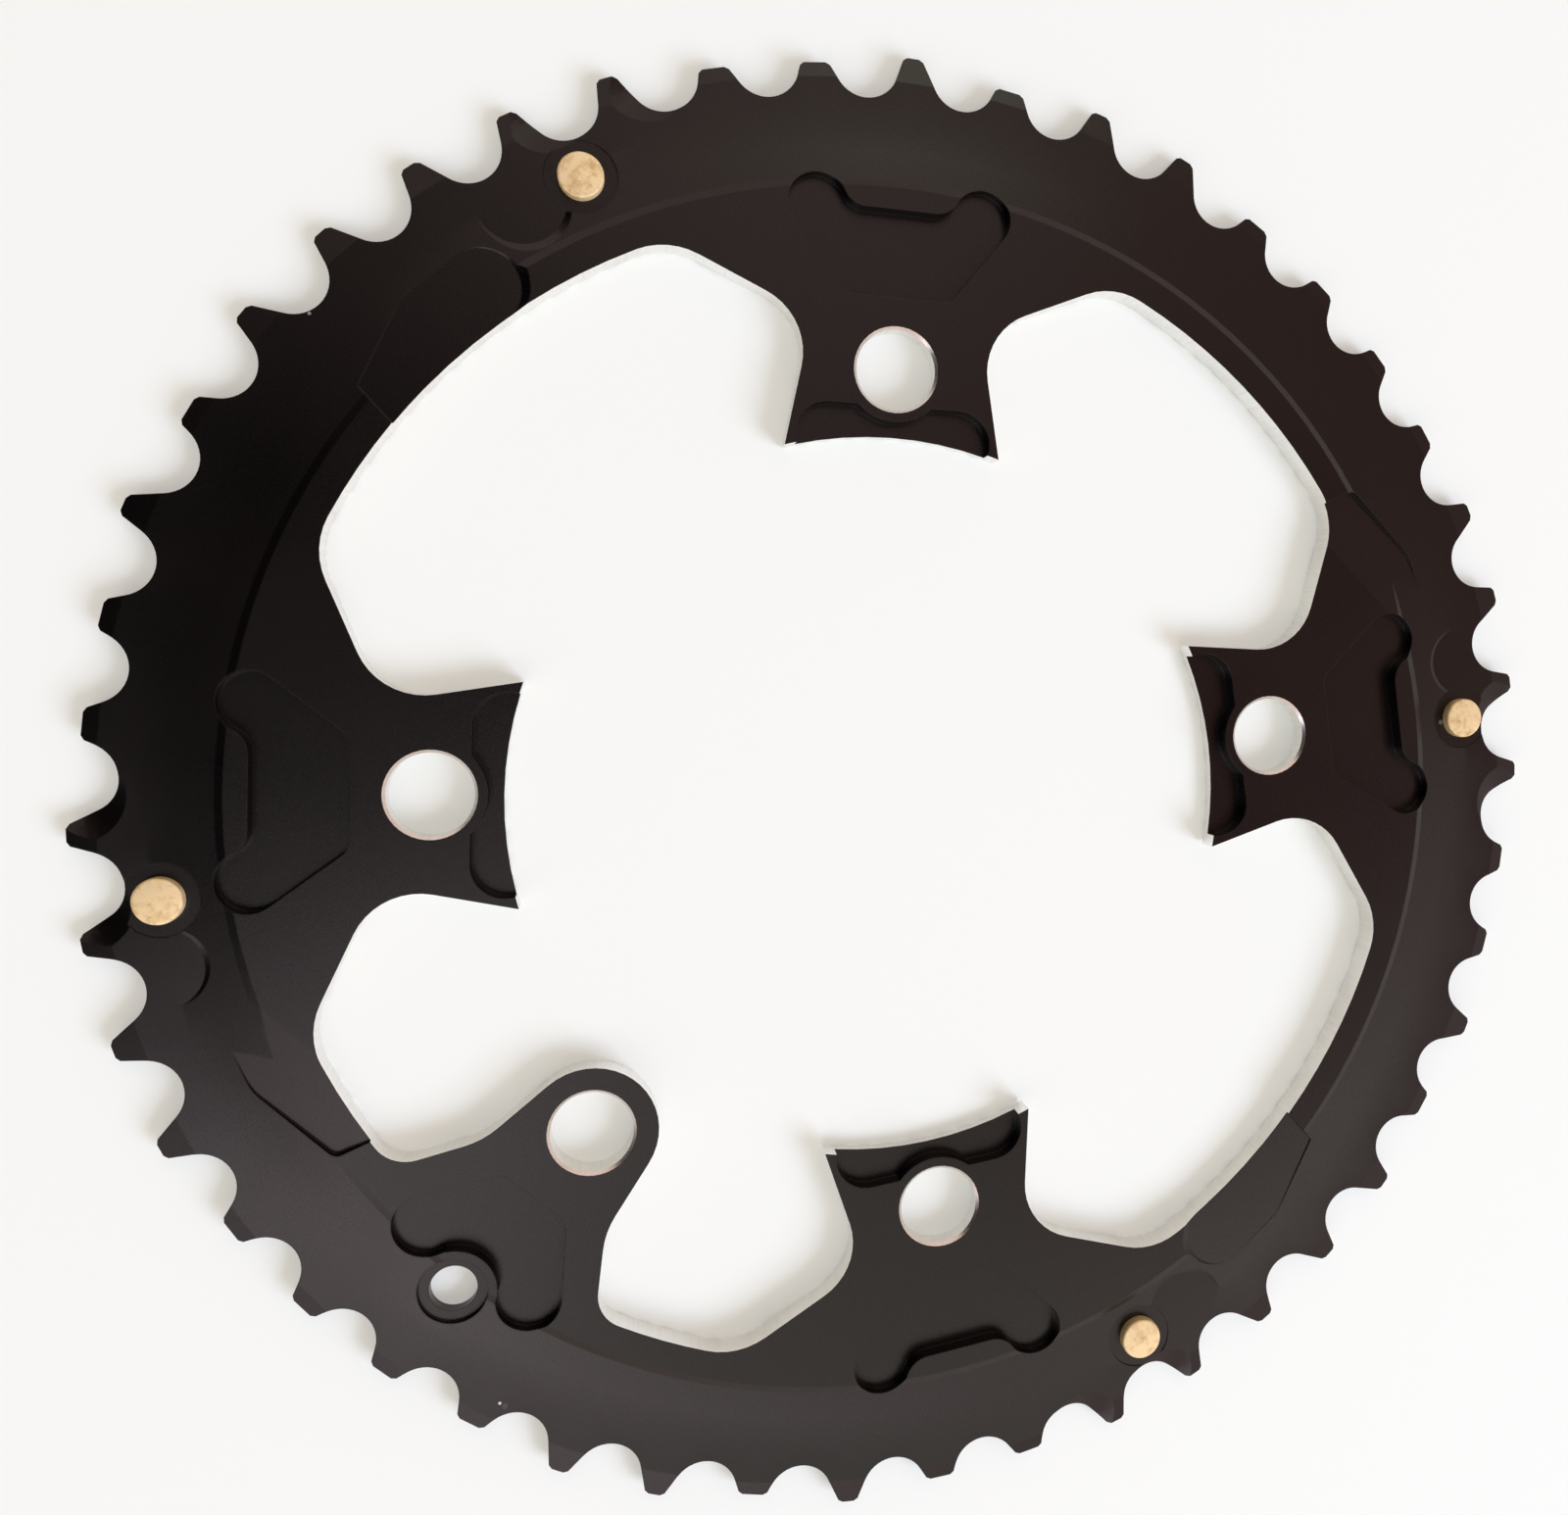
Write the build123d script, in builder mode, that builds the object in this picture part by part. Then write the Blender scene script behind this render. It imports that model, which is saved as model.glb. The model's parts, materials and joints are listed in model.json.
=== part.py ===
from build123d import *

import os
from math import asin, atan2, cos, hypot, radians, sin, sqrt, tan

os.makedirs("parts", exist_ok=True)

# The ring lies on its front face. +Z points out of its inner face, the side that faces the bicycle.
# +X runs from the centre of the ring through the tab that sits behind the crank arm.

# Teeth for a half-inch chain
teeth = 46
chain_pitch = 12.7
seat_radius = 4.2
leading_slope = 17.0
trailing_slope = 26.0
tip_height = 1.45
low_tooth_cut = 1.5
tip_break = 0.4
tooth_thickness = 2.1
tip_thickness = 1.0
bevel_length = 3.3

# Teeth cut low, counted counter-clockwise from the crank arm, the same in both halves of the ring
low_teeth = (0, 1, 4, 6, 7, 13, 15, 16, 21, 22)

# Section of the ring, from the tooth roots inwards
tooth_band = 2.85
cone_width = 7.3
step_width = 1.0
rim_width = 3.5
plate_thickness = 3.9
tooth_set = 0.7
step_height = 0.5
front_step_inset = 10.0
front_step_width = 1.3
front_edge_break = 0.4

# Bolt circle, and the holes with a seat for the bolt head in the front
bolt_circle = 110.0
bolt_hole = 10.2
bolt_hole_break = 0.35
bolt_seat = 12.2
bolt_seat_depth = 1.2

# Flared tabs, two on each side of the crank arm
flared_tab_angles = (50.0, 140.0, 220.0, 310.0)
pilot_wall = 8.3
tab_end_width = 27.8
neck_width = 21.8
neck_place = 5.8
shoulder_width = 57.3
neck_fillet = 8.0
shoulder_fillet = 9.0

# Round tab behind the crank arm
round_end_radius = 8.2
round_flank_slope = 9.0
knee_place = 8.6
knee_slope = 35.0
knee_fillet = 10.0
round_shoulder_fillet = 4.5

# Pocket in the root of each flared tab, which widens from the bolt hole to two lobes
pocket_start = 9.1
pocket_start_width = 13.6
pocket_wall = 0.8
pocket_depth = 2.0
pocket_corner = 2.0
lobe_radius = 3.7
lobe_spacing = 21.2
lobe_fillet = 3.2

# Pocket in the round tab, which bends round the boss of the hole for the chain-drop pin
crank_pocket_start = 10.4
crank_pocket_start_width = 10.0
crank_pocket_wall = 1.5
crank_lobe_radius = 4.0
crank_lobe_spacing = 16.0
crank_lobe_notch = 1.0
drop_hole = 5.7
drop_hole_place = 1.5
drop_seat = 8.4
drop_seat_floor = 2.4
drop_boss = 10.6

# Scoop at the end of each flared tab, bent round the boss of the bolt hole
scoop_radius = 4.2
scoop_spacing = 16.8
scoop_place = 8.8
scoop_depth = 2.1
bolt_boss = 13.2

# Shift pins: rivets set beside a tooth gap, two near the roots and two further in
pin_head = 5.5
pin_head_rise = 1.25
pin_head_break = 0.3
pin_shank = 3.6
pin_rivet = 5.0
pin_clearance = 0.03
pin_spot = 8.8
pin_spot_depth = 0.15
near_pin_gaps = (17, 40)
near_pin_inset = 3.45
near_pin_lead = 2.4
far_pin_gaps = (8, 31)
far_pin_inset = 4.4
far_pin_lead = 1.65

# Round dishes in the cone, one counter-clockwise of each pin, with sloping sides
dish_slope = 30.0
near_dish = 9.8
near_dish_inset = 2.45
near_dish_lead = 10.5
far_dish = 11.0
far_dish_inset = 4.05
far_dish_lead = 9.3

# Shift ramps in the rim, further round from each pin: a facet for a near pin, a slot for a far one
ramp_turn = 17.5
facet_width = 8.3
facet_skew = 23.6
facet_dip = 7.7
facet_lead = 14.1
facet_tail = 12.0
facet_bend = 2.0
facet_tail_width = 3.7
facet_corner = 1.2
facet_fillet = 6.0
slot_reach = 9.0
slot_end = 9.3
slot_length = 18.5
slot_bend = 7.9
slot_turn_back = 5.9
slot_floor = 3.3
slot_dip = 1.9
slot_end_slope = 30.0

# Hollows in the tooth flanks beside each pin, where the chain comes across
hollow = 10.8
hollow_slope = 20.0
hollow_depth = 1.5
hollow_lead = 2.2
hollow_lift = 0.35

# Places worked out from the sizes above
tooth_turn = 360.0 / teeth
pitch_radius = chain_pitch / (2 * sin(radians(tooth_turn / 2)))
root_radius = pitch_radius - seat_radius
tip_radius = pitch_radius + tip_height
cone_radius = root_radius - tooth_band
step_radius = cone_radius - cone_width
plate_radius = step_radius - step_width
window_radius = plate_radius - rim_width
front_step_radius = cone_radius - front_step_inset
tooth_back = tooth_set + tooth_thickness
tip_bevel = (tooth_thickness - tip_thickness) / 2
bolt_radius = bolt_circle / 2
pilot_radius = bolt_radius - pilot_wall
drop_radius = step_radius + drop_hole_place
pin_seat = tooth_back - pin_spot_depth
through = 2 * plate_thickness


def spoke(angle, radius, along=0.0, height=0.0, dip=0.0, skew=0.0):
    """Plane on a spoke of the ring, offset sideways, with x outwards, turned by skew and dipping."""
    out = radians(angle)
    lean = radians(angle + skew)
    fall = radians(dip)
    return Plane(
        origin=(radius * cos(out) - along * sin(out), radius * sin(out) + along * cos(out), height),
        x_dir=(cos(lean) * cos(fall), sin(lean) * cos(fall), -sin(fall)),
        z_dir=(cos(lean) * sin(fall), sin(lean) * sin(fall), cos(fall)),
    )


def front(plane):
    """The same place seen from the front of the ring."""
    return Plane(plane.origin, x_dir=plane.x_dir, z_dir=-plane.z_dir)


def gap_angle(gap):
    """Direction of a tooth gap, counted counter-clockwise from the one past the crank arm."""
    return (gap + 0.5) * tooth_turn


def mirrored(points):
    """Points of one side of an outline, followed by those of the other side."""
    return [*points, *[(out, -along) for out, along in points[::-1]]]


def tooth_points(number):
    """Corners of a tooth from its clockwise foot to its counter-clockwise foot."""
    low = number % (teeth // 2) in low_teeth
    top = tip_radius - low_tooth_cut if low else tip_radius
    seat_out = pitch_radius * cos(radians(tooth_turn / 2))
    sides = []
    for slope in (radians(trailing_slope), radians(leading_slope)):
        foot = (seat_out - seat_radius * sin(slope), chain_pitch / 2 - seat_radius * cos(slope))
        tip_half = foot[1] - (top - foot[0]) * tan(slope)
        flank_end = (top - tip_break * cos(slope), tip_half + tip_break * sin(slope))
        sides.append((foot, flank_end, (top, tip_half - tip_break)))
    back, ahead = sides
    corners = [*[(point, -1) for point in back], *[(point, 1) for point in ahead[::-1]]]
    return [spoke(number * tooth_turn, out, side * along).origin for (out, along), side in corners]


def lobe_touch(start_half, reach, lobe_half, radius):
    """Point where a line from the narrow end of a pocket touches the outside of its lobe."""
    rise = lobe_half - start_half
    run = sqrt(reach**2 + rise**2 - radius**2)
    slope = atan2(rise, reach) + atan2(radius, run)
    return (run * cos(slope), start_half + run * sin(slope))


# Outline of a flared tab along +X, narrowest at its neck
neck_out = bolt_radius + neck_place
end_out = pilot_radius * cos(asin(tab_end_width / 2 / pilot_radius))
shoulder_out = window_radius * cos(asin(shoulder_width / 2 / window_radius))
taper = (tab_end_width - neck_width) / 2 / (neck_out - end_out)
spread = (shoulder_width - neck_width) / 2 / (shoulder_out - neck_out)
with BuildSketch() as flared_tab:
    with BuildLine():
        flank = [
            (end_out - pilot_wall, tab_end_width / 2 + taper * pilot_wall),
            (neck_out, neck_width / 2),
            (shoulder_out + rim_width, shoulder_width / 2 + spread * rim_width),
            (window_radius + rim_width, neck_width / 2),
        ]
        FilletPolyline(*mirrored(flank), radius=(0, neck_fillet, 0, 0, 0, 0, neck_fillet, 0), close=True)
    make_face()

# Outline of the round tab, with a knee in each flank
flank_slope = radians(round_flank_slope)
touch_out = bolt_radius - round_end_radius * sin(flank_slope)
touch_half = round_end_radius * cos(flank_slope)
knee_out = bolt_radius + knee_place
knee_half = touch_half + (knee_out - touch_out) * tan(flank_slope)
foot_out = window_radius + rim_width
foot_half = knee_half + (foot_out - knee_out) * tan(radians(knee_slope))
with BuildSketch() as round_tab:
    with BuildLine():
        flank = [(touch_out, touch_half), (knee_out, knee_half), (foot_out, foot_half)]
        FilletPolyline(*mirrored(flank), radius=(0, knee_fillet, 0, 0, knee_fillet, 0), close=True)
    make_face()
    with Locations((bolt_radius, 0)):
        Circle(round_end_radius)

# Outline of the whole ring, with its teeth and tabs
with BuildSketch(Plane.XY.offset(-plate_thickness / 2)) as outline:
    with BuildLine():
        for number in range(teeth):
            here = tooth_points(number)
            after = tooth_points(number + 1)
            Polyline(*here)
            ThreePointArc(here[-1], spoke(gap_angle(number), root_radius).origin, after[0])
    make_face()
    Circle(window_radius, mode=Mode.SUBTRACT)
    with Locations(*[Location((0, 0, 0), (0, 0, angle)) for angle in flared_tab_angles]):
        add(flared_tab.sketch)
    add(round_tab.sketch)

# Pocket of a flared tab, drawn from its narrow end outwards
pocket_reach = window_radius + pocket_wall - bolt_radius - pocket_start
lobe_half = lobe_spacing / 2
with BuildSketch() as tab_pocket:
    with BuildLine():
        side = [
            (0, pocket_start_width / 2),
            lobe_touch(pocket_start_width / 2, pocket_reach, lobe_half, lobe_radius),
            (pocket_reach, lobe_half),
        ]
        FilletPolyline(*mirrored(side), radius=(pocket_corner, 0, 0, 0, 0, pocket_corner), close=True)
    make_face()
    with Locations((pocket_reach, lobe_half), (pocket_reach, -lobe_half)):
        Circle(lobe_radius)
    fillet([v for v in tab_pocket.vertices() if abs(abs(v.Y) - lobe_half + lobe_radius) < 0.01], lobe_fillet)

# Pocket of the round tab
crank_reach = window_radius + crank_pocket_wall - bolt_radius - crank_pocket_start
crank_half = crank_lobe_spacing / 2
with BuildSketch() as crank_pocket:
    with BuildLine():
        side = [
            (0, crank_pocket_start_width / 2),
            lobe_touch(crank_pocket_start_width / 2, crank_reach, crank_half, crank_lobe_radius),
            (crank_reach, crank_half),
        ]
        FilletPolyline(*mirrored(side), radius=(pocket_corner, 0, 0, 0, 0, pocket_corner), close=True)
    make_face()
    with Locations((crank_reach, crank_half), (crank_reach, -crank_half)):
        Circle(crank_lobe_radius)
    with Locations((crank_reach, 0)):
        Rectangle(2 * crank_lobe_notch, crank_lobe_spacing)
    with Locations((drop_radius - bolt_radius - crank_pocket_start, 0)):
        Circle(drop_boss / 2, mode=Mode.SUBTRACT)

# Scoop at the end of a flared tab
with BuildSketch() as tab_scoop:
    with Locations((bolt_radius - scoop_place, 0)):
        with GridLocations(1, scoop_spacing, 1, 2):
            Circle(scoop_radius)
        Rectangle(2 * scoop_radius, scoop_spacing)
    with Locations((bolt_radius, 0)):
        Circle(bolt_boss / 2, mode=Mode.SUBTRACT)

# Facet beside a near pin, drawn on its slope from the crease outwards
with BuildSketch() as facet:
    with BuildLine():
        FilletPolyline(
            (0, facet_lead),
            (facet_width, facet_lead - facet_width * tan(radians(facet_skew))),
            (facet_width, -facet_bend),
            (facet_tail_width, -facet_tail),
            (0, -facet_tail),
            radius=(0, facet_corner, facet_fillet, 0, 0),
            close=True,
        )
    make_face()

# Slot beside a far pin, with a round end towards the pin, open to the window
with BuildSketch() as slot:
    with BuildLine():
        Polyline(
            (-rim_width, 0),
            (slot_reach, 0),
            (slot_reach, slot_bend),
            (slot_end / 2, slot_length),
            (-rim_width, slot_length),
            close=True,
        )
    make_face()
    with Locations((slot_reach - slot_end / 2, 0)):
        Circle(slot_end / 2)

# Places of the pins, near and far ones in turn round the ring
near_pins = [spoke(gap_angle(gap), root_radius - near_pin_inset, near_pin_lead) for gap in near_pin_gaps]
far_pins = [spoke(gap_angle(gap), root_radius - far_pin_inset, far_pin_lead) for gap in far_pin_gaps]
pin_places = [*near_pins, *far_pins]

with BuildPart() as chainring:
    # Turned blank, cut to the outline
    with BuildSketch(Plane.XZ):
        with BuildLine():
            Polyline(
                (pilot_radius, 0),
                (front_step_radius, 0),
                (front_step_radius + front_step_width, tooth_set),
                (tip_radius - bevel_length, tooth_set),
                (tip_radius, tooth_set + tip_bevel),
                (tip_radius, tooth_back - tip_bevel),
                (tip_radius - bevel_length, tooth_back),
                (cone_radius, tooth_back),
                (step_radius, plate_thickness - step_height),
                (plate_radius, plate_thickness),
                (pilot_radius, plate_thickness),
                close=True,
            )
        make_face()
    revolve(axis=Axis.Z)
    extrude(outline.sketch, amount=through, mode=Mode.INTERSECT)
    for at_round_tab, radius in ((False, shoulder_fillet), (True, round_shoulder_fillet)):
        shoulders = [
            e
            for e in chainring.edges().filter_by(Axis.Z)
            if abs(hypot(e.center().X, e.center().Y) - window_radius) < 0.01
            and (e.center().X > 0 and abs(e.center().Y) < foot_half) == at_round_tab
        ]
        fillet(shoulders, radius)
    chamfer(chainring.faces().sort_by(Axis.Z).first.inner_wires()[0].edges(), front_edge_break)

    # Pockets and scoops of the tabs
    pocket_out = bolt_radius + pocket_start
    pocket_floor = plate_thickness - pocket_depth
    with BuildSketch(*[spoke(angle, pocket_out, 0, pocket_floor) for angle in flared_tab_angles]):
        add(tab_pocket.sketch)
    extrude(amount=through, mode=Mode.SUBTRACT)
    with BuildSketch(spoke(0, bolt_radius + crank_pocket_start, 0, pocket_floor)):
        add(crank_pocket.sketch)
    extrude(amount=through, mode=Mode.SUBTRACT)
    with BuildSketch(*[spoke(angle, 0, 0, plate_thickness - scoop_depth) for angle in flared_tab_angles]):
        add(tab_scoop.sketch)
    extrude(amount=through, mode=Mode.SUBTRACT)

    # Shift ramps
    facet_planes = [
        spoke(gap_angle(gap) + ramp_turn, window_radius, 0, plate_thickness, facet_dip, facet_skew)
        for gap in near_pin_gaps
    ]
    with BuildSketch(*facet_planes):
        add(facet.sketch)
    extrude(amount=through, mode=Mode.SUBTRACT)
    slot_planes = [
        spoke(gap_angle(gap) + ramp_turn, window_radius, -slot_turn_back, slot_floor, slot_dip)
        for gap in far_pin_gaps
    ]
    with BuildSketch(*slot_planes):
        add(slot.sketch)
    extrude(amount=through, mode=Mode.SUBTRACT)
    with Locations(*slot_planes):
        with Locations((slot_reach - slot_end / 2, 0)):
            Cone(
                slot_end / 2,
                slot_end / 2 + plate_thickness / tan(radians(slot_end_slope)),
                plate_thickness,
                align=(Align.CENTER, Align.CENTER, Align.MIN),
                mode=Mode.SUBTRACT,
            )

    # Dishes in the cone
    for gaps, width, inset, lead in (
        (near_pin_gaps, near_dish, near_dish_inset, near_dish_lead),
        (far_pin_gaps, far_dish, far_dish_inset, far_dish_lead),
    ):
        with Locations(*[spoke(gap_angle(gap), root_radius - inset, lead, tooth_back) for gap in gaps]):
            Cone(
                width / 2,
                width / 2 + plate_thickness / tan(radians(dish_slope)),
                plate_thickness,
                align=(Align.CENTER, Align.CENTER, Align.MIN),
                mode=Mode.SUBTRACT,
            )

    # Hollows in the teeth on both sides of the tooth before each pin
    hollow_out = pitch_radius + hollow_lift
    hollow_gaps = [gap - back for gap in (*near_pin_gaps, *far_pin_gaps) for back in (0, 1)]
    with Locations(*[spoke(gap_angle(gap), hollow_out, hollow_lead, tooth_back) for gap in hollow_gaps]):
        Cone(
            hollow / 2 - hollow_depth / tan(radians(hollow_slope)),
            hollow / 2,
            hollow_depth,
            align=(Align.CENTER, Align.CENTER, Align.MAX),
            mode=Mode.SUBTRACT,
        )

    # Seats and rivet holes for the pins
    with BuildSketch(*[place.offset(pin_seat) for place in pin_places]):
        Circle(pin_spot / 2)
    extrude(amount=through, mode=Mode.SUBTRACT)
    with Locations(*[front(place.offset(tooth_set)) for place in pin_places]):
        CounterSinkHole(pin_shank / 2 + pin_clearance, pin_rivet / 2 + pin_clearance, through, 90)

    # Bolt holes, with bolt seats in the front of the flared tabs, and the hole for the chain-drop pin
    with Locations(*[front(spoke(angle, bolt_radius)) for angle in flared_tab_angles]):
        CounterBoreHole(bolt_hole / 2, bolt_seat / 2, bolt_seat_depth, through)
    with Locations(front(spoke(0, bolt_radius))):
        Hole(bolt_hole / 2, through)
    lips = [
        e
        for e in chainring.edges().filter_by(GeomType.CIRCLE)
        if abs(e.center().Z - plate_thickness) < 0.01 and abs(e.radius - bolt_hole / 2) < 0.01
    ]
    chamfer(lips, bolt_hole_break)
    with Locations(spoke(0, drop_radius, 0, plate_thickness)):
        CounterBoreHole(drop_hole / 2, drop_seat / 2, plate_thickness - drop_seat_floor, through)

chainring.part.label = "chainring"
export_step(chainring.part, "parts/chainring.step")

# A shift pin is a rivet with a flat head on the inner face and a flush flared end in the front
for number, place in enumerate(pin_places, 1):
    flare = (pin_rivet - pin_shank) / 2
    head_top = tooth_back + pin_head_rise
    with BuildPart() as shift_pin:
        with BuildSketch(Plane(place.origin, x_dir=place.x_dir, z_dir=-place.y_dir)):
            with BuildLine():
                Polyline(
                    (0, tooth_set),
                    (pin_rivet / 2, tooth_set),
                    (pin_shank / 2, tooth_set + flare),
                    (pin_shank / 2, pin_seat),
                    (pin_head / 2, pin_seat),
                    (pin_head / 2, head_top - pin_head_break),
                    (pin_head / 2 - pin_head_break, head_top),
                    (0, head_top),
                    close=True,
                )
            make_face()
        revolve(axis=Axis(place.origin, (0, 0, 1)))
    shift_pin.part.label = f"shift_pin_{number}"
    export_step(shift_pin.part, f"parts/shift_pin_{number}.step")
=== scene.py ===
"""Looks for a bicycle chainring that lies on a pale table with its inner face up.

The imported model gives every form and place. The ring's faces are sorted here into black anodised
skin and walls that were machined bare after it, the shift pins get their turned and peened heads,
and a soft studio with the photograph's camera is set round them.
"""

from __future__ import annotations

import json
import logging
import math
from dataclasses import dataclass
from enum import Enum

import bmesh
import bpy
from mathutils import Euler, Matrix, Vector
from mathutils.bvhtree import BVHTree

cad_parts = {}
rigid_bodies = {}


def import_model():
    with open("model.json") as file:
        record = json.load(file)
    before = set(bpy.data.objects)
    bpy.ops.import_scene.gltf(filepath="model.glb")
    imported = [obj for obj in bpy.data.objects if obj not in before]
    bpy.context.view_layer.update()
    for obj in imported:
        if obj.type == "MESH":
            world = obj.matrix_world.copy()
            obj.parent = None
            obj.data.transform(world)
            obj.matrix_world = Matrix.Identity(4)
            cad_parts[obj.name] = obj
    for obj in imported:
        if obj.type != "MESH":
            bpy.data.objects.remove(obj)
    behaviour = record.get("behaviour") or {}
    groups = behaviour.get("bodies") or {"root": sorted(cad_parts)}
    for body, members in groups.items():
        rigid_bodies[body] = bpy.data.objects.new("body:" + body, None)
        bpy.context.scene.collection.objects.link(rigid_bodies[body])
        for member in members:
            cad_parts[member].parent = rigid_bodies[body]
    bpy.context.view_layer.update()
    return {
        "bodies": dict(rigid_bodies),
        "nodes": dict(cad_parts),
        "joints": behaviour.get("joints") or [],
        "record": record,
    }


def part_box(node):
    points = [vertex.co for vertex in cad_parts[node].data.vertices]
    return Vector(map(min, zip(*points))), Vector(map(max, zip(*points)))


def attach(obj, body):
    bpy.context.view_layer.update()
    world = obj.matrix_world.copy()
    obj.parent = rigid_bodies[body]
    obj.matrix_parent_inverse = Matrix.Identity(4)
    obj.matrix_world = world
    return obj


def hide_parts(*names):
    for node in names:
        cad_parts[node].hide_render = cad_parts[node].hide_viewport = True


LOG = logging.getLogger("chainring")
MM = 0.001
BODY = "root"
# Attribute that holds each point's place from its own pin's axis.
AXIS_OFFSET = "from_axis"
# Rays cast from each shaded point to find a near edge.
EDGE_RAYS = 2
# Middle of the range of a noise.
MIDDLE = 0.5
Colour = tuple[float, float, float]
Span = tuple[float, float]


class MathKind(Enum):
    """Operations that a signal can add to its graph."""

    ADD = "ADD"
    SUBTRACT = "SUBTRACT"
    MULTIPLY = "MULTIPLY"
    POWER = "POWER"
    LARGER = "MAXIMUM"
    ABOVE = "GREATER_THAN"


class Graph:
    """A node tree that is being written, with one method for every node in it."""

    def __init__(self, tree: bpy.types.NodeTree) -> None:
        """Start on a shader or geometry node tree."""
        self.tree = tree

    def node(
        self,
        kind: str,
        settings: dict[str, object] | None = None,
        inputs: dict[object, object] | None = None,
    ) -> bpy.types.Node:
        """Add a node.

        Args:
            kind: The node's type.
            settings: Properties to set first, and the number of a switch's items.
            inputs: Values, signals or sockets by input name or number.

        Returns:
            The new node.
        """
        made = self.tree.nodes.new(kind)
        for name, value in (settings or {}).items():
            if name == "items":
                while len(made.index_switch_items) < value:
                    made.index_switch_items.new()
            else:
                setattr(made, name, value)
        for name, value in (inputs or {}).items():
            socket = made.inputs[name]
            if isinstance(value, Signal):
                self.tree.links.new(value.socket, socket)
            elif isinstance(value, bpy.types.NodeSocket):
                self.tree.links.new(value, socket)
            else:
                socket.default_value = value
        return made

    def signal(self, node: bpy.types.Node, output: object = 0) -> "Signal":
        """Wrap one output of a node, by name or number."""
        return Signal(self, node.outputs[output])

    def mix(self, factor: "Signal", low: object, high: object) -> "Signal":
        """Mix two colours.

        Args:
            factor: 0 gives low and 1 gives high.
            low: Colour or colour signal.
            high: Colour or colour signal.

        Returns:
            The mixed colour.
        """
        sides = {6: low, 7: high}
        inputs = {n: (*c, 1.0) if isinstance(c, tuple) and len(c) == 3 else c for n, c in sides.items()}
        made = self.node("ShaderNodeMix", {"data_type": "RGBA"}, {0: factor, **inputs})
        return self.signal(made, 2)


class Signal:
    """A socket whose sums and products add Math nodes to its graph."""

    def __init__(self, graph: Graph, socket: bpy.types.NodeSocket) -> None:
        """Wrap a socket of a graph."""
        self.graph = graph
        self.socket = socket

    def _maths(self, kind: MathKind, first: object, second: object) -> "Signal":
        """Add one Math node and wrap its result."""
        made = self.graph.node("ShaderNodeMath", {"operation": kind.value}, {0: first, 1: second})
        return Signal(self.graph, made.outputs[0])

    def __add__(self, other: object) -> "Signal":
        """Sum."""
        return self._maths(MathKind.ADD, self, other)

    __radd__ = __add__

    def __sub__(self, other: object) -> "Signal":
        """Difference."""
        return self._maths(MathKind.SUBTRACT, self, other)

    def __rsub__(self, other: object) -> "Signal":
        """Difference from a number."""
        return self._maths(MathKind.SUBTRACT, other, self)

    def __mul__(self, other: object) -> "Signal":
        """Product."""
        return self._maths(MathKind.MULTIPLY, self, other)

    __rmul__ = __mul__

    def __pow__(self, other: object) -> "Signal":
        """Power."""
        return self._maths(MathKind.POWER, self, other)

    def larger(self, other: object) -> "Signal":
        """The larger of two values."""
        return self._maths(MathKind.LARGER, self, other)

    def above(self, level: object) -> "Signal":
        """1 where the value is above the level, else 0."""
        return self._maths(MathKind.ABOVE, self, level)

    def ramp(self, low: float, high: float) -> "Signal":
        """Rise smoothly from 0 at low to 1 at high, or fall where low is the larger.

        Args:
            low: Value that gives 0.
            high: Value that gives 1.

        Returns:
            The eased value.
        """
        made = self.graph.node(
            "ShaderNodeMapRange",
            {"interpolation_type": "SMOOTHSTEP"},
            {"Value": self, "From Min": low, "From Max": high},
        )
        return Signal(self.graph, made.outputs[0])


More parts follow.
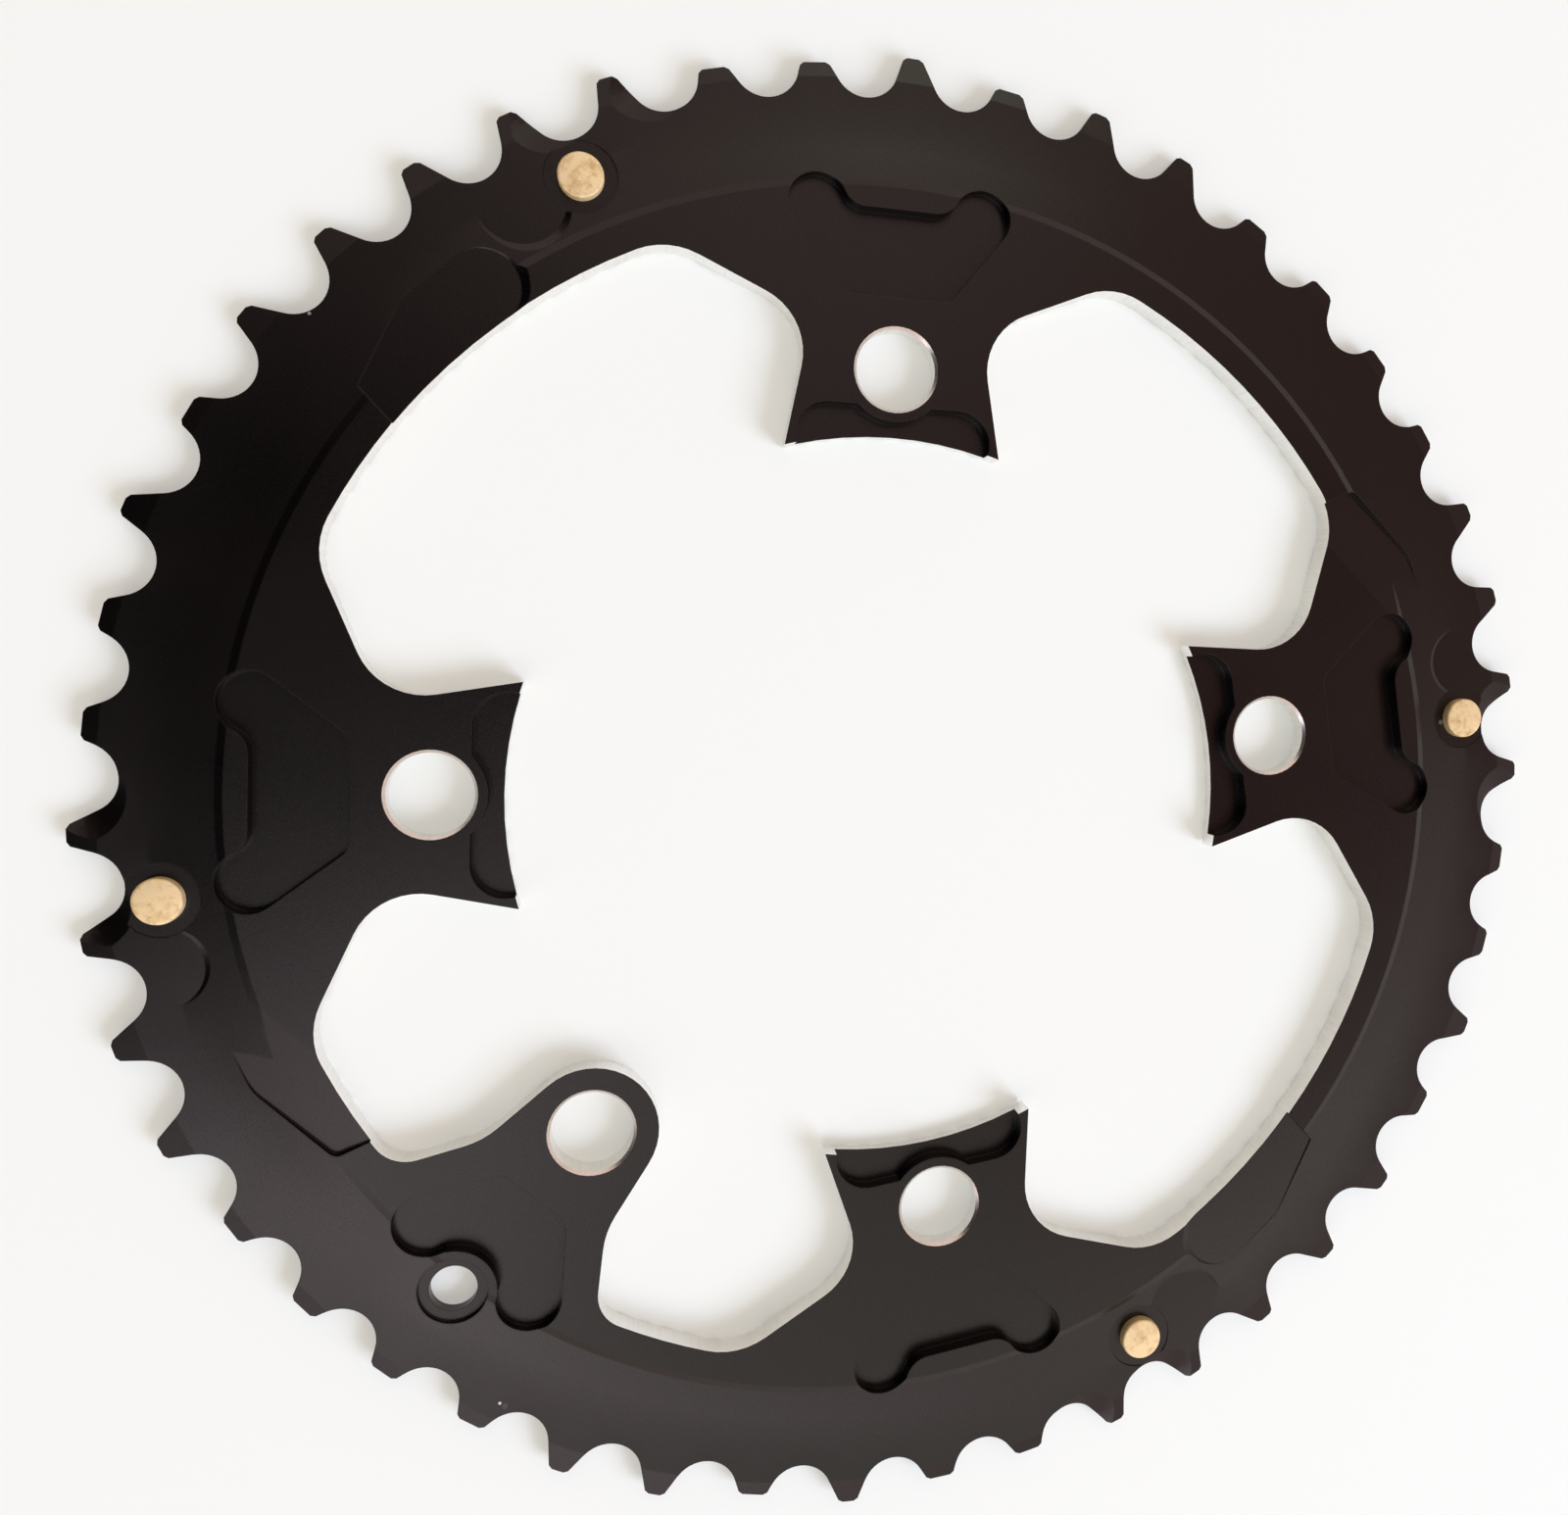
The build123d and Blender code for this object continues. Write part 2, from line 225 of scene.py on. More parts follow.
class Surface(Graph):
    """A material that is being written, in Object coordinates."""

    def __init__(self, name: str) -> None:
        """Make an empty material with a Principled shader.

        Args:
            name: The material's name.
        """
        self.material = bpy.data.materials.new(name)
        self.material.use_nodes = True
        super().__init__(self.material.node_tree)
        self.tree.nodes.clear()
        self.output = self.node("ShaderNodeOutputMaterial")
        self.shader = self.node("ShaderNodeBsdfPrincipled")
        self.tree.links.new(self.shader.outputs[0], self.output.inputs["Surface"])
        self.place = self.signal(self.node("ShaderNodeTexCoord"), "Object")

    def set(self, **values: object) -> None:
        """Set constants or links of the Principled shader.

        Args:
            **values: Values by input name, with _ for a space.
        """
        for name, value in values.items():
            socket = self.shader.inputs[name.replace("_", " ")]
            if isinstance(value, Signal):
                self.tree.links.new(value.socket, socket)
            elif isinstance(value, tuple):
                socket.default_value = (*value, 1.0)
            else:
                socket.default_value = value

    def stretched(self, scale: tuple[float, float, float]) -> Signal:
        """Object coordinates, scaled along each axis."""
        return self.signal(self.node("ShaderNodeMapping", None, {"Vector": self.place, "Scale": scale}))

    def noise(
        self, scale: float, detail: float, place: Signal | None = None, rough: float = 0.5
    ) -> Signal:
        """Noise from 0 to 1.

        Args:
            scale: Waves to the metre.
            detail: Octaves.
            place: Coordinates, or the object's own.
            rough: Weight of each finer octave.

        Returns:
            The noise value.
        """
        inputs = {"Vector": place or self.place, "Scale": scale, "Detail": detail, "Roughness": rough}
        return self.signal(self.node("ShaderNodeTexNoise", None, inputs), 0)

    def bands(self, across: Signal, scale: float) -> Signal:
        """Noise along one value alone, as tool marks are."""
        inputs = {"W": across, "Scale": scale, "Detail": 2.0}
        return self.signal(self.node("ShaderNodeTexNoise", {"noise_dimensions": "1D"}, inputs), 0)

    def radius(self, place: Signal) -> Signal:
        """Measure the distance from the Z axis.

        Args:
            place: Coordinates.

        Returns:
            The distance, in metres.
        """
        parts = self.node("ShaderNodeSeparateXYZ", None, {0: place})
        out, along = self.signal(parts, 0), self.signal(parts, 1)
        return (out * out + along * along) ** 0.5

    def spot(self, centre: tuple[float, float, float], reach: float) -> Signal:
        """Round mark that fades from 1 at its centre to 0 at its reach.

        Args:
            centre: Place of the mark, in metres.
            reach: Radius of the mark, in metres.

        Returns:
            The mark's weight.
        """
        made = self.node("ShaderNodeVectorMath", {"operation": "DISTANCE"}, {0: self.place, 1: centre})
        return self.signal(made, "Value").ramp(reach, 0.0)

    def bump(self, height: Signal, depth: float, strength: float, edge: float = 0.0) -> None:
        """Feed a bump to the shader's normal.

        Args:
            height: Height from 0 to 1.
            depth: Depth of the relief, in metres.
            strength: Share of it that shows.
            edge: Radius to which sharp edges look rounded, in metres.
        """
        inputs = {"Height": height, "Distance": depth, "Strength": strength}
        if edge:
            rounded = self.node("ShaderNodeBevel", {"samples": EDGE_RAYS}, {"Radius": edge})
            inputs["Normal"] = self.signal(rounded)
        self.set(Normal=self.signal(self.node("ShaderNodeBump", None, inputs)))


@dataclass(frozen=True)
class Nick:
    """A small chip in the black skin that shows bare metal."""

    centre: tuple[float, float, float]
    reach: float
    strength: float


@dataclass(frozen=True)
class AnodisedSkin:
    """Black anodised skin over fine blasting, with a few nicks."""

    warm: Colour = (0.0015, 0.0011, 0.0009)
    cool: Colour = (0.0010, 0.0009, 0.0010)
    bare: Colour = (0.62, 0.58, 0.52)
    roughness: float = 0.28
    specular: float = 0.5
    cloud_waves: float = 38.0
    cloud_edges: Span = (0.35, 0.68)
    cloud_gloss: float = 0.10
    grain_waves: float = 7500.0
    grain_gloss: float = 0.12
    grain_depth: float = 0.012 * MM
    relief: float = 0.5
    edge: float = 0.22 * MM
    chip_base: float = 0.45
    chip_edges: Span = (0.20, 0.55)
    chip_metal: float = 0.8
    nicks: tuple[Nick, ...] = (
        Nick((87.96 * MM, 14.05 * MM, 2.8 * MM), 0.34 * MM, 0.9),
        Nick((87.89 * MM, 14.80 * MM, 2.8 * MM), 0.60 * MM, 0.06),
        Nick((1.68 * MM, -88.92 * MM, 2.8 * MM), 0.32 * MM, 0.7),
        Nick((-61.58 * MM, 54.70 * MM, 2.65 * MM), 0.55 * MM, 0.25),
    )

    def material(self) -> bpy.types.Material:
        """Write the finish.

        Returns:
            The material.
        """
        skin = Surface("black_anodised")
        cloud = skin.noise(self.cloud_waves, 3.0)
        grain = skin.noise(self.grain_waves, 2.0, rough=0.6)
        colour = skin.mix(cloud.ramp(*self.cloud_edges), self.cool, self.warm)
        worn: object = 0.0
        for nick in self.nicks:
            chip = skin.spot(nick.centre, nick.reach) * (self.chip_base + grain)
            worn = chip.ramp(*self.chip_edges) * nick.strength + worn
        colour = skin.mix(worn, colour, self.bare)
        skin.set(Metallic=worn * self.chip_metal)
        rough = self.roughness + (cloud - MIDDLE) * self.cloud_gloss
        rough = rough + (grain - MIDDLE) * self.grain_gloss
        skin.set(Base_Color=colour, Roughness=rough, Specular_IOR_Level=self.specular)
        skin.bump(grain, self.grain_depth, self.relief, self.edge)
        return skin.material


@dataclass(frozen=True)
class MachinedMetal:
    """Bare aluminium walls with the upright streaks of a milling cutter."""

    colour: Colour = (0.93, 0.92, 0.90)
    stain: Colour = (0.80, 0.78, 0.75)
    roughness: float = 0.32
    streak_waves: tuple[float, float, float] = (2600.0, 2600.0, 90.0)
    streak_edges: Span = (0.4, 0.7)
    streak_stain: float = 0.3
    streak_gloss: float = 0.25
    streak_depth: float = 0.01 * MM
    cloud_waves: float = 160.0
    cloud_edges: Span = (0.3, 0.8)
    cloud_stain: float = 0.6
    relief: float = 0.5

    def material(self) -> bpy.types.Material:
        """Write the finish.

        Returns:
            The material.
        """
        wall = Surface("bare_machined")
        streaks = wall.noise(1.0, 3.0, wall.stretched(self.streak_waves))
        cloud = wall.noise(self.cloud_waves, 2.0)
        dull = cloud.ramp(*self.cloud_edges) * self.cloud_stain
        dull = dull + streaks.ramp(*self.streak_edges) * self.streak_stain
        rough = self.roughness + (streaks - MIDDLE) * self.streak_gloss
        wall.set(Base_Color=wall.mix(dull, self.colour, self.stain), Metallic=1.0, Roughness=rough)
        wall.bump(streaks, self.streak_depth, self.relief)
        return wall.material


@dataclass(frozen=True)
class PinSteel:
    """Turned steel with a straw tint and a peened, slightly dirty face."""

    colour: Colour = (0.91, 0.76, 0.39)
    dirt: Colour = (0.62, 0.43, 0.165)
    roughness: float = 0.5
    metallic: float = 0.35
    turning_waves: float = 9000.0
    turning_gloss: float = 0.15
    turning_height: float = 0.25
    cloud_waves: float = 620.0
    cloud_edges: Span = (0.42, 0.75)
    cloud_gloss: float = 0.3
    peen_depth: float = 0.04 * MM
    relief: float = 0.5

    def material(self) -> bpy.types.Material:
        """Write the finish.

        Returns:
            The material.
        """
        steel = Surface("pin_steel_turned")
        offset = steel.node("ShaderNodeAttribute", {"attribute_name": AXIS_OFFSET})
        turning = steel.bands(steel.radius(steel.signal(offset, "Vector")), self.turning_waves)
        cloud = steel.noise(self.cloud_waves, 4.0, rough=0.65)
        colour = steel.mix(cloud.ramp(*self.cloud_edges), self.colour, self.dirt)
        rough = self.roughness + (cloud - MIDDLE) * self.cloud_gloss
        rough = rough + (turning - MIDDLE) * self.turning_gloss
        steel.set(Base_Color=colour, Metallic=self.metallic, Roughness=rough)
        steel.bump(cloud + turning * self.turning_height, self.peen_depth, self.relief)
        return steel.material


@dataclass(frozen=True)
class PaleTable:
    """Pale table that looks bright and still takes the ring's shadow."""

    colour: Colour = (0.84, 0.935, 0.78)
    glow: Colour = (1.0, 0.995, 0.98)
    share: float = 0.36
    roughness: float = 0.7
    specular: float = 0.2
    fibre_waves: float = 900.0
    fibre_gloss: float = 0.1

    def material(self) -> bpy.types.Material:
        """Write the finish.

        Returns:
            The material.
        """
        table = Surface("pale_table")
        fibre = table.noise(self.fibre_waves, 3.0)
        rough = self.roughness + (fibre - MIDDLE) * self.fibre_gloss
        table.set(Base_Color=self.colour, Roughness=rough, Specular_IOR_Level=self.specular)
        rays = table.node("ShaderNodeLightPath")
        seen = table.signal(rays, "Is Camera Ray").larger(table.signal(rays, "Is Glossy Ray"))
        seen = seen.larger(table.signal(rays, "Is Transmission Ray"))
        glow = table.node("ShaderNodeEmission", None, {"Color": (*self.glow, 1.0), "Strength": 1.0})
        both = table.node(
            "ShaderNodeMixShader",
            None,
            {0: seen * self.share, 1: table.shader.outputs[0], 2: glow.outputs[0]},
        )
        table.tree.links.new(both.outputs[0], table.output.inputs["Surface"])
        return table.material


@dataclass
class RingBody:
    """The toothed ring: a merged copy of its solid, with bare walls where it was cut after anodising."""

    node: str = "chainring"
    merge: float = 0.0005 * MM
    window_reach: float = 75.5 * MM
    wall_tilt: float = 0.3
    flat_tilt: float = 0.95
    look_ahead: float = 0.25 * MM
    smooth_turn: float = math.radians(25.0)
    same_slope: float = 0.004
    upright: float = 0.2
    lip: float = 0.6 * MM
    seat: float = 1.2 * MM
    seat_depth: float = 1.3 * MM
    front_skin: float = 0.01 * MM
    probe_start: float = -1.0 * MM

    def build(self, frame: dict, skin: bpy.types.Material, bare: bpy.types.Material) -> bpy.types.Object:
        """Copy the solid, set its shading and its two finishes, and put it in the solid's place.

        Args:
            skin: Finish of the faces.
            bare: Finish of the walls cut after it.

        Returns:
            The finished ring.
        """
        mesh = bpy.data.meshes.new("ring_body")
        form = bmesh.new()
        form.from_mesh(frame["nodes"][self.node].data)
        bmesh.ops.remove_doubles(form, verts=form.verts, dist=self.merge)
        form.normal_update()
        self._shade(form)
        self._sort_faces(form, self._bolt_axes(frame["record"]))
        form.to_mesh(mesh)
        form.free()
        ring = bpy.data.objects.new("ring_body", mesh)
        bpy.context.scene.collection.objects.link(ring)
        mesh.materials.append(skin)
        mesh.materials.append(bare)
        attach(ring, BODY)
        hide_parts(self.node)
        return ring

    def _shade(self, form: bmesh.types.BMesh) -> None:
        """Keep an edge soft only inside one turned, milled or flat face.

        Args:
            form: The merged mesh.
        """
        for face in form.faces:
            face.smooth = True
        for edge in form.edges:
            if len(edge.link_faces) != 2:
                edge.smooth = False
                continue
            one, two = (face.normal for face in edge.link_faces)
            walls = abs(one.z) < self.upright and abs(two.z) < self.upright
            alike = walls or abs(one.z - two.z) < self.same_slope
            edge.smooth = alike and one.angle(two, math.pi) < self.smooth_turn

    def _bolt_axes(self, record: dict) -> list[tuple[Vector, float]]:
        """Read the bolt holes from the record.

        Args:
            record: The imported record.

        Returns:
            Each hole's centre in plan and its radius.
        """
        axes = []
        for mount in record["mounts"]:
            x, y, _ = mount["pos_m"]
            dims = mount["dims"]
            if mount["kind"] == "bolt_pattern":
                half = dims["spacing_y_mm"] * MM / 2
                axes += [(Vector((x, y + side * half)), dims["hole_r_mm"] * MM) for side in (-1, 1)]
            elif mount["name"] == "crank_arm_bolt":
                axes.append((Vector((x, y)), dims["r_mm"] * MM))
        return axes

    def _sort_faces(self, form: bmesh.types.BMesh, axes: list[tuple[Vector, float]]) -> None:
        """Give the second finish to window walls, hole walls, hole lips and bolt seats.

        Args:
            form: The merged mesh.
            axes: Centres and radii of the bolt holes.
        """
        tree = BVHTree.FromBMesh(form)
        for face in form.faces:
            centre, normal = face.calc_center_median(), face.normal
            plan = centre.xy
            if plan.length > self.window_reach:
                continue
            gap = min((plan - axis).length - radius for axis, radius in axes)
            in_hole = gap < self.lip and abs(normal.z) < self.flat_tilt
            in_seat = gap < self.seat and self.front_skin < centre.z < self.seat_depth
            face.material_index = int(in_hole or in_seat or self._open_wall(tree, centre, normal))

    def _open_wall(self, tree: BVHTree, centre: Vector, normal: Vector) -> bool:
        """Find whether a face is a wall, or a broken edge of one, with nothing under the space before it.

        Args:
            tree: The merged mesh, for casting rays.
            centre: Middle of the face.
            normal: Way that the face looks.

        Returns:
            True for a wall of a window.
        """
        if abs(normal.z) > self.wall_tilt and not -self.flat_tilt < normal.z < -self.wall_tilt:
            return False
        ahead = centre + Vector((normal.x, normal.y, 0.0)).normalized() * self.look_ahead
        hit = tree.ray_cast(Vector((ahead.x, ahead.y, self.probe_start)), Vector((0.0, 0.0, 1.0)))
        return hit[0] is None


@dataclass
class ShiftPins:
    """Four riveted pins: a head with a rounded rim, a shank, and a flared end flush with the front."""

    nodes: tuple[str, ...] = ("shift_pin_1", "shift_pin_2", "shift_pin_3", "shift_pin_4")
    shank: float = 1.8 * MM
    flare: float = 2.5 * MM
    flare_height: float = 0.7 * MM
    seat: float = 1.95 * MM
    rim_round: float = 0.32 * MM
    crown: float = 0.06 * MM
    round_steps: int = 5
    segments: int = 64
    axis_hole: float = 0.0005 * MM
    merge: float = 0.002 * MM
    sharp_turn: float = math.radians(30.0)

    def build(self, steel: bpy.types.Material) -> bpy.types.Object:
        """Turn the pins and put them in their solids' places.

        Args:
            steel: Finish of the pins.

        Returns:
            The four pins as one piece.
        """
        boxes = [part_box(node) for node in self.nodes]
        low, high = boxes[0]
        sizes = {
            "Head Radius": (high.x - low.x) / 2,
            "Height": high.z - low.z,
            "Shank Radius": self.shank,
            "Flare Radius": self.flare,
            "Flare Height": self.flare_height,
            "Seat": self.seat,
            "Rim Round": self.rim_round,
            "Crown": self.crown,
        }
        carrier = bpy.data.meshes.new("pin_axes")
        carrier.from_pydata([((a.x + b.x) / 2, (a.y + b.y) / 2, a.z) for a, b in boxes], [], [])
        maker = bpy.data.objects.new("pin_axes", carrier)
        bpy.context.scene.collection.objects.link(maker)
        tree, sockets = self._tree(list(sizes))
        modifier = maker.modifiers.new("turning", "NODES")
        modifier.node_group = tree
        for name, value in sizes.items():
            modifier[sockets[name]] = value
        modifier[sockets["Finish"]] = steel
        bpy.context.view_layer.update()
        finished = maker.evaluated_get(bpy.context.evaluated_depsgraph_get())
        mesh = bpy.data.meshes.new_from_object(finished)
        mesh.name = "shift_pins"
        mesh.materials.clear()
        mesh.materials.append(steel)
        bpy.data.objects.remove(maker)
        mesh.shade_smooth()
        mesh.set_sharp_from_angle(angle=self.sharp_turn)
        pins = bpy.data.objects.new("shift_pins", mesh)
        bpy.context.scene.collection.objects.link(pins)
        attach(pins, BODY)
        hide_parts(*self.nodes)
        return pins

    def _tree(self, names: list[str]) -> tuple[bpy.types.NodeTree, dict[str, str]]:
        """Write the tree that turns one pin and sets it on every axis point.

        Args:
            names: Names of the size inputs.

        Returns:
            The tree and the identifier of each input.
        """
        tree = bpy.data.node_groups.new("turned_pins", "GeometryNodeTree")
        face = tree.interface
        face.new_socket("Axes", in_out="INPUT", socket_type="NodeSocketGeometry")
        kinds = {**dict.fromkeys(names, "NodeSocketFloat"), "Finish": "NodeSocketMaterial"}
        sockets = {}
        for name, kind in kinds.items():
            sockets[name] = face.new_socket(name, in_out="INPUT", socket_type=kind).identifier
        face.new_socket("Pins", in_out="OUTPUT", socket_type="NodeSocketGeometry")
        graph = Graph(tree)
        given = graph.node("NodeGroupInput")
        size = {name: graph.signal(given, name) for name in names}
        pin = self._turned(graph, self._profile(graph, size))
        local = graph.node("GeometryNodeInputPosition")
        kept = graph.node(
            "GeometryNodeStoreNamedAttribute",
            {"data_type": "FLOAT_VECTOR"},
            {"Geometry": pin, "Name": AXIS_OFFSET, "Value": local.outputs[0]},
        )
        placed = graph.node(
            "GeometryNodeInstanceOnPoints",
            None,
            {"Points": given.outputs["Axes"], "Instance": kept.outputs[0]},
        )
        real = graph.node("GeometryNodeRealizeInstances", None, {0: placed.outputs[0]})
        dressed = graph.node(
            "GeometryNodeSetMaterial",
            None,
            {"Geometry": real.outputs[0], "Material": given.outputs["Finish"]},
        )
        end = graph.node("NodeGroupOutput")
        tree.links.new(dressed.outputs[0], end.inputs[0])
        return tree, sockets

    def _profile(self, graph: Graph, size: dict[str, Signal]) -> bpy.types.NodeSocket:
        """Draw half the section of a pin, from the axis at its front to the axis at its head.

        Args:
            graph: The tree.
            size: The size inputs.

        Returns:
            The section as a curve, y down, with the rim of the head rounded.
        """
        rim = size["Height"] - size["Crown"]
        corners = [
            (0.0, 0.0),
            (size["Flare Radius"], 0.0),
            (size["Shank Radius"], size["Flare Height"]),
            (size["Shank Radius"], size["Seat"]),
            (size["Head Radius"], size["Seat"]),
            (size["Head Radius"], rim),
            (0.0, size["Height"]),
        ]
        index = graph.node("GeometryNodeInputIndex")
        rows = [graph.node("ShaderNodeCombineXYZ", None, {0: out, 1: 0.0 - up}) for out, up in corners]
        place = graph.node(
            "GeometryNodeIndexSwitch",
            {"data_type": "VECTOR", "items": len(corners)},
            {0: index.outputs[0], **{n + 1: row.outputs[0] for n, row in enumerate(rows)}},
        )
        where = {"Count": len(corners), "Position": place.outputs[0]}
        dots = graph.node("GeometryNodePoints", None, where)
        line = graph.node("GeometryNodePointsToCurves", None, {0: dots.outputs[0]})
        number = graph.signal(index)
        rim_row = len(corners) - 2
        at_rim = number.above(rim_row - 0.5) * (1.0 - number.above(rim_row + 0.5))
        eased = graph.node(
            "GeometryNodeFilletCurve",
            {"mode": "POLY"},
            {"Curve": line.outputs[0], "Radius": size["Rim Round"] * at_rim, "Count": self.round_steps},
        )
        return eased.outputs[0]

    def _turned(self, graph: Graph, profile: bpy.types.NodeSocket) -> bpy.types.NodeSocket:
        """Sweep a section round the Z axis and close it at the axis.

        Args:
            graph: The tree.
            profile: The section, with x outwards and y down.

        Returns:
            The turned mesh.
        """
        path = graph.node(
            "GeometryNodeCurvePrimitiveCircle",
            {"mode": "RADIUS"},
            {"Resolution": self.segments, "Radius": self.axis_hole},
        )
        swept = graph.node(
            "GeometryNodeCurveToMesh", None, {"Curve": path.outputs[0], "Profile Curve": profile}
        )
        closed = graph.node(
            "GeometryNodeMergeByDistance", None, {0: swept.outputs[0], "Distance": self.merge}
        )
        outwards = graph.node("GeometryNodeFlipFaces", None, {0: closed.outputs[0]})
        return outwards.outputs[0]


@dataclass(frozen=True)
class Lamp:
    """A soft lamp, placed by the picture's right and up directions and its height over the table."""

    name: str
    right: float
    up: float
    height: float
    width: float
    depth: float
    power: float
    colour: Colour


@dataclass(frozen=True)
class Glow:
    """A soft patch of the room, placed by how far it leans to the picture's right and up."""

    name: str
    right: float
    up: float
    core: float
    fade: float
    colour: Colour


@dataclass
class Studio:
    """Pale table, a soft window, a dim room and the photograph's camera."""

    table_half: float = 4.0
    table_drop: float = 0.02 * MM
    eye: tuple[float, float, float] = (0.006795, -0.036691, 0.176559)
    turn: tuple[float, float, float] = (-3.4297, -13.5305, 132.1181)
    lens: float = 31.275
    sensor: float = 36.0
    nearest: float = 0.005
    shift: tuple[float, float] = (-0.109375, -0.0175)
    ceiling: Colour = (0.76, 0.55, 0.505)
    horizon: Colour = (0.85, 0.75, 0.66)
    horizon_rise: Span = (0.05, 0.30)
    backdrop: Colour = (0.95, 0.945, 0.94)
    glows: tuple[Glow, ...] = (
        Glow("dark left", -20.5, 0.5, 20.5, 23.5, (0.0, 0.0, 0.0)),
        Glow("bright near wall", -1.5, -30.0, 18.0, 21.0, (3.3, 2.85, 2.95)),
        Glow("bright near right", 22.0, -15.0, 6.0, 27.0, (2.5, 2.3, 2.2)),
        Glow("brown right", 21.0, -7.5, 16.5, 19.5, (0.31, 0.13, 0.11)),
        Glow("bright far wall", 13.5, 38.0, 8.5, 11.5, (1.85, 1.8, 1.4)),
        Glow("grey near", 4.5, -28.0, 4.5, 21.0, (0.80, 0.74, 0.65)),
        Glow("brown far right", 40.0, 22.0, 21.0, 24.0, (0.47, 0.27, 0.22)),
        Glow("bright near left", -42.5, -32.5, 12.0, 16.0, (2.0, 1.85, 2.0)),
    )
    dark_side: Glow = Glow("dark side", -62.5, 9.5, 31.0, 41.0, (0.0, 0.0, 0.0))
    lamp: Lamp = Lamp("window", 1.50, -1.10, 1.40, 1.24, 1.24, 50.0, (0.79, 0.83, 1.25))

    def build(self, table: bpy.types.Material) -> None:
        """Make the studio.

        Args:
            table: Finish of the table.
        """
        camera = self._camera()
        turn = camera.matrix_world.to_3x3()
        right = Vector((turn.col[0].x, turn.col[0].y, 0.0)).normalized()
        up = Vector((-right.y, right.x, 0.0))
        self._table(table)
        self._room(right, up)
        self._lamp(self.lamp, right, up)

    def _camera(self) -> bpy.types.Object:
        """Set the photograph's camera.

        Returns:
            The camera.
        """
        data = bpy.data.cameras.new("camera")
        data.sensor_width = self.sensor
        data.sensor_fit = "HORIZONTAL"
        data.lens = self.lens
        data.shift_x, data.shift_y = self.shift
        data.clip_start = self.nearest
        data.dof.use_dof = False
        camera = bpy.data.objects.new("camera", data)
        camera.location = self.eye
        camera.rotation_euler = Euler([math.radians(a) for a in self.turn])
        bpy.context.scene.collection.objects.link(camera)
        bpy.context.scene.camera = camera
        bpy.context.view_layer.update()
        return camera

    def _table(self, finish: bpy.types.Material) -> None:
        """Lay the table under the ring.

        Args:
            finish: Finish of the table.
        """
        half = self.table_half
        mesh = bpy.data.meshes.new("table")
        corners = [(-half, -half, 0.0), (half, -half, 0.0), (half, half, 0.0), (-half, half, 0.0)]
        mesh.from_pydata(corners, [], [(0, 1, 2, 3)])
        mesh.materials.append(finish)
        table = bpy.data.objects.new("table", mesh)
        table.location.z = -self.table_drop
        bpy.context.scene.collection.objects.link(table)

    def _room(self, right: Vector, up: Vector) -> None:
        """Give the room a dim ceiling, lighter walls, its soft patches and a pale backdrop.

        Args:
            right: The picture's right, level with the table.
            up: The picture's up, level with the table.
        """
        world = bpy.data.worlds.new("room")
        world.use_nodes = True
        bpy.context.scene.world = world
        graph = Graph(world.node_tree)
        graph.tree.nodes.clear()
        way = graph.node("ShaderNodeTexCoord").outputs["Generated"]
        height = graph.signal(graph.node("ShaderNodeSeparateXYZ", None, {0: way}), 2)
        above: object = self.ceiling
        for glow in self.glows:
            above = self._patch(graph, way, glow, above, right, up)
        tone = graph.mix(height.ramp(*self.horizon_rise), self.horizon, above)
        tone = self._patch(graph, way, self.dark_side, tone, right, up)
        seen = graph.signal(graph.node("ShaderNodeLightPath"), "Is Camera Ray")
        tone = graph.mix(seen, tone, self.backdrop)
        light = graph.node("ShaderNodeBackground", None, {"Color": tone, "Strength": 1.0})
        end = graph.node("ShaderNodeOutputWorld")
        graph.tree.links.new(light.outputs[0], end.inputs[0])

    def _patch(
        self,
        graph: Graph,
        way: bpy.types.NodeSocket,
        glow: Glow,
        under: object,
        right: Vector,
        up: Vector,
    ) -> Signal:
        """Lay a soft patch over the room.

        Args:
            graph: The room's tree.
            way: Direction in which the room is seen.
            glow: The patch.
            under: The room's colour without it.
            right: The picture's right, level with the table.
            up: The picture's up, level with the table.

        Returns:
            The room's colour with the patch.
        """
        aside, ahead = math.sin(math.radians(glow.right)), math.sin(math.radians(glow.up))
        over = Vector((0.0, 0.0, math.sqrt(1.0 - aside**2 - ahead**2)))
        near = graph.node(
            "ShaderNodeVectorMath",
            {"operation": "DOT_PRODUCT", "label": glow.name},
            {0: way, 1: right * aside + up * ahead + over},
        )
        edge, full = math.cos(math.radians(glow.fade)), math.cos(math.radians(glow.core))
        return graph.mix(graph.signal(near, "Value").ramp(edge, full), under, glow.colour)

    def _lamp(self, lamp: Lamp, right: Vector, up: Vector) -> None:
        """Hang a soft lamp and aim it at the ring.

        Args:
            lamp: Its place, size and power.
            right: The picture's right, level with the table.
            up: The picture's up, level with the table.
        """
        data = bpy.data.lights.new(lamp.name, "AREA")
        data.shape = "RECTANGLE"
        data.size, data.size_y = lamp.width, lamp.depth
        data.energy = lamp.power
        data.color = lamp.colour
        light = bpy.data.objects.new(lamp.name, data)
        light.location = right * lamp.right + up * lamp.up + Vector((0.0, 0.0, lamp.height))
        light.rotation_euler = light.location.to_track_quat("Z", "Y").to_euler()
        light.visible_glossy = False
        bpy.context.scene.collection.objects.link(light)


def clear_scene() -> None:
    """Remove whatever Blender starts with."""
    for thing in list(bpy.data.objects):
        bpy.data.objects.remove(thing)


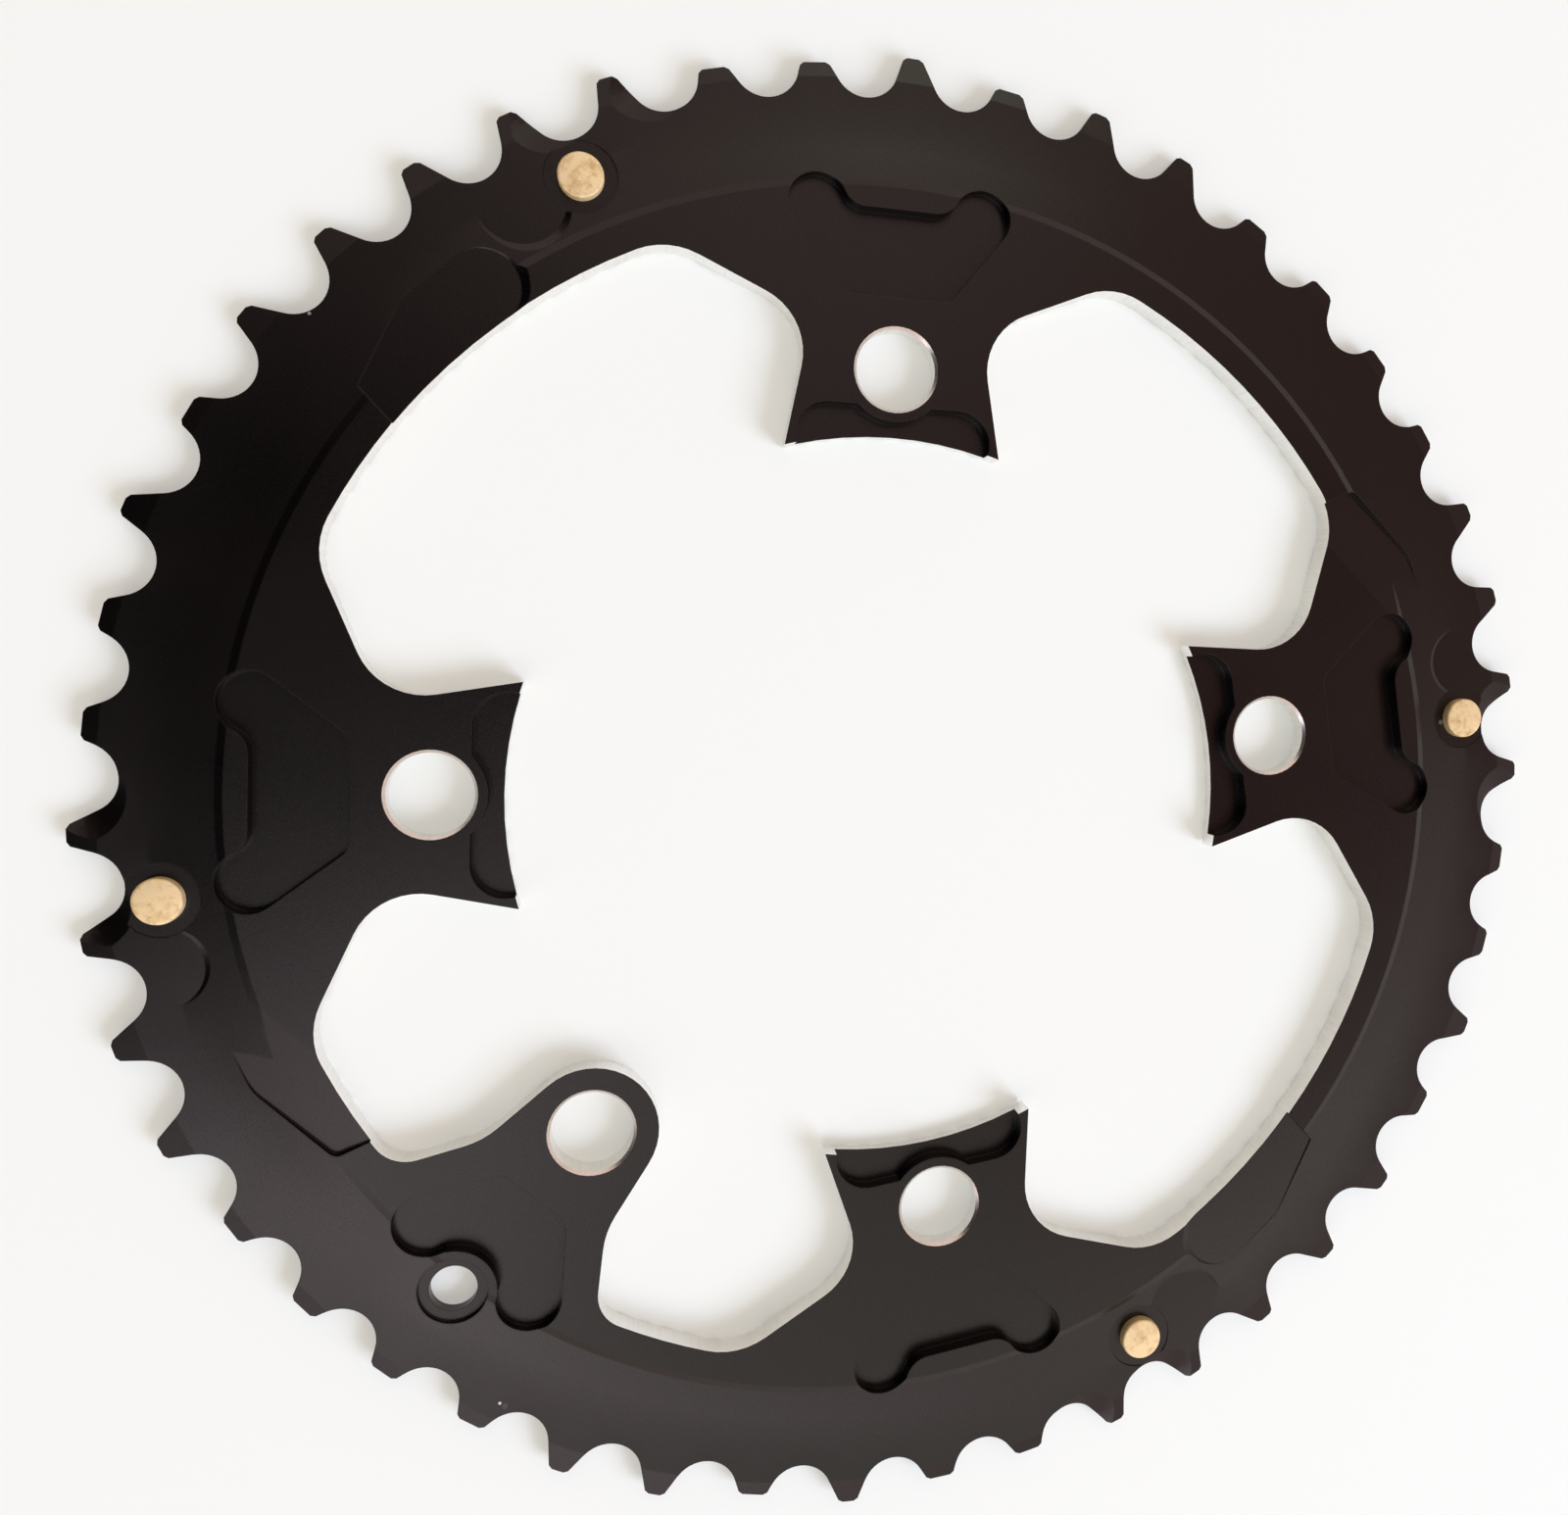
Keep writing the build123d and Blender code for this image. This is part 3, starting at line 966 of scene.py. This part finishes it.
def main() -> None:
    """Build the scene piece by piece."""
    logging.basicConfig(level=logging.INFO, format="%(name)s: %(message)s")
    clear_scene()
    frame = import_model()
    bpy.context.scene.view_settings.view_transform = "Standard"
    ring = RingBody().build(frame, AnodisedSkin().material(), MachinedMetal().material())
    LOG.info("%s has %d faces", ring.name, len(ring.data.polygons))
    pins = ShiftPins().build(PinSteel().material())
    LOG.info("%s have %d faces", pins.name, len(pins.data.polygons))
    Studio().build(PaleTable().material())


if __name__ == "__main__":
    main()
